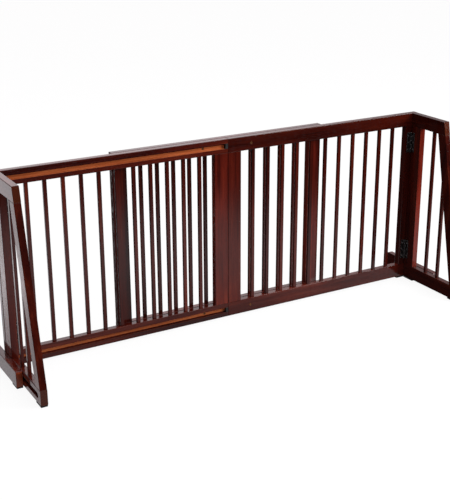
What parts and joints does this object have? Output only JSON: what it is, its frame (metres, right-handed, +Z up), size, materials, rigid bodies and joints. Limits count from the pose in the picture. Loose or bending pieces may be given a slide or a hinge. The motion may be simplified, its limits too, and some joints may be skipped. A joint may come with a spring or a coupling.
{
  "type": "freestanding pet gate",
  "caption": "Low freestanding wooden barred pet gate: two front panels slide out along a back panel, with a hinged folding wing and a foot beam at each end.",
  "frame": {"origin": "on the floor, under the middle of the standing gate's bounding box", "axes": "+X along the gate to the right as seen from the front, -Y to the front, where the wings point, +Z up"},
  "size_m": [1.314, 0.34, 0.512],
  "materials": {
    "mahogany_wood": "dark red-brown stain under gloss varnish",
    "dowel_wood": "bare hardwood",
    "black_metal": "satin black",
    "brass": "brassed steel screw",
    "black_plastic": "matt",
    "rubber": "matt black"
  },
  "bodies": {
    "back_panel": {"back_bars": "mahogany_wood", "back_bottom_rail": "mahogany_wood", "back_dowels": "dowel_wood", "back_left_stile": "mahogany_wood", "back_right_stile": "mahogany_wood", "back_slot_plugs": "black_plastic", "back_top_rail": "mahogany_wood"},
    "left_panel": {"left_bars": "mahogany_wood", "left_bottom_rail": "mahogany_wood", "left_dowels": "dowel_wood", "left_foot_beam": "mahogany_wood", "left_foot_screws": "black_metal", "left_groove_plugs": "black_plastic", "left_guide_screws": "brass", "left_guide_shoes": "black_plastic", "left_hinge_panel_screws": "black_metal", "left_hinge_pins": "black_metal", "left_inner_stile": "mahogany_wood", "left_lower_hinge_panel_leaf": "black_metal", "left_outer_stile": "mahogany_wood", "left_panel_pads": "rubber", "left_top_rail": "mahogany_wood", "left_upper_hinge_panel_leaf": "black_metal"},
    "right_panel": {"right_bars": "mahogany_wood", "right_bottom_rail": "mahogany_wood", "right_dowels": "dowel_wood", "right_foot_beam": "mahogany_wood", "right_foot_screws": "black_metal", "right_guide_screws": "brass", "right_guide_shoes": "black_plastic", "right_hinge_panel_screws": "black_metal", "right_hinge_pins": "black_metal", "right_inner_stile": "mahogany_wood", "right_lower_hinge_panel_leaf": "black_metal", "right_outer_stile": "mahogany_wood", "right_panel_pads": "rubber", "right_top_rail": "mahogany_wood", "right_upper_hinge_panel_leaf": "black_metal"},
    "left_wing": {"left_hinge_wing_screws": "black_metal", "left_lower_hinge_wing_leaf": "black_metal", "left_upper_hinge_wing_leaf": "black_metal", "left_wing_bottom_rail": "mahogany_wood", "left_wing_dowels": "dowel_wood", "left_wing_leg": "mahogany_wood", "left_wing_long_bar": "mahogany_wood", "left_wing_pads": "rubber", "left_wing_short_bar": "mahogany_wood", "left_wing_stile": "mahogany_wood", "left_wing_top_rail": "mahogany_wood"},
    "right_wing": {"right_hinge_wing_screws": "black_metal", "right_lower_hinge_wing_leaf": "black_metal", "right_upper_hinge_wing_leaf": "black_metal", "right_wing_bottom_rail": "mahogany_wood", "right_wing_dowels": "dowel_wood", "right_wing_leg": "mahogany_wood", "right_wing_long_bar": "mahogany_wood", "right_wing_pads": "rubber", "right_wing_short_bar": "mahogany_wood", "right_wing_stile": "mahogany_wood", "right_wing_top_rail": "mahogany_wood"}
  },
  "joints": [
    {"name": "left_slide", "type": "slide", "parent": "back_panel", "child": "left_panel", "axis": [-1, 0, 0], "range_m": [0, 0.21]},
    {"name": "right_slide", "type": "slide", "parent": "back_panel", "child": "right_panel", "axis": [1, 0, 0], "range_m": [0, 0.21]},
    {"name": "left_wing_fold", "type": "hinge", "parent": "left_panel", "child": "left_wing", "pos_m": [-0.618, 0.0625, 0.26], "axis": [0, 0, 1], "range_deg": [0, 90]},
    {"name": "right_wing_fold", "type": "hinge", "parent": "right_panel", "child": "right_wing", "pos_m": [0.618, 0.0625, 0.26], "axis": [0, 0, -1], "range_deg": [0, 90]}
  ]
}
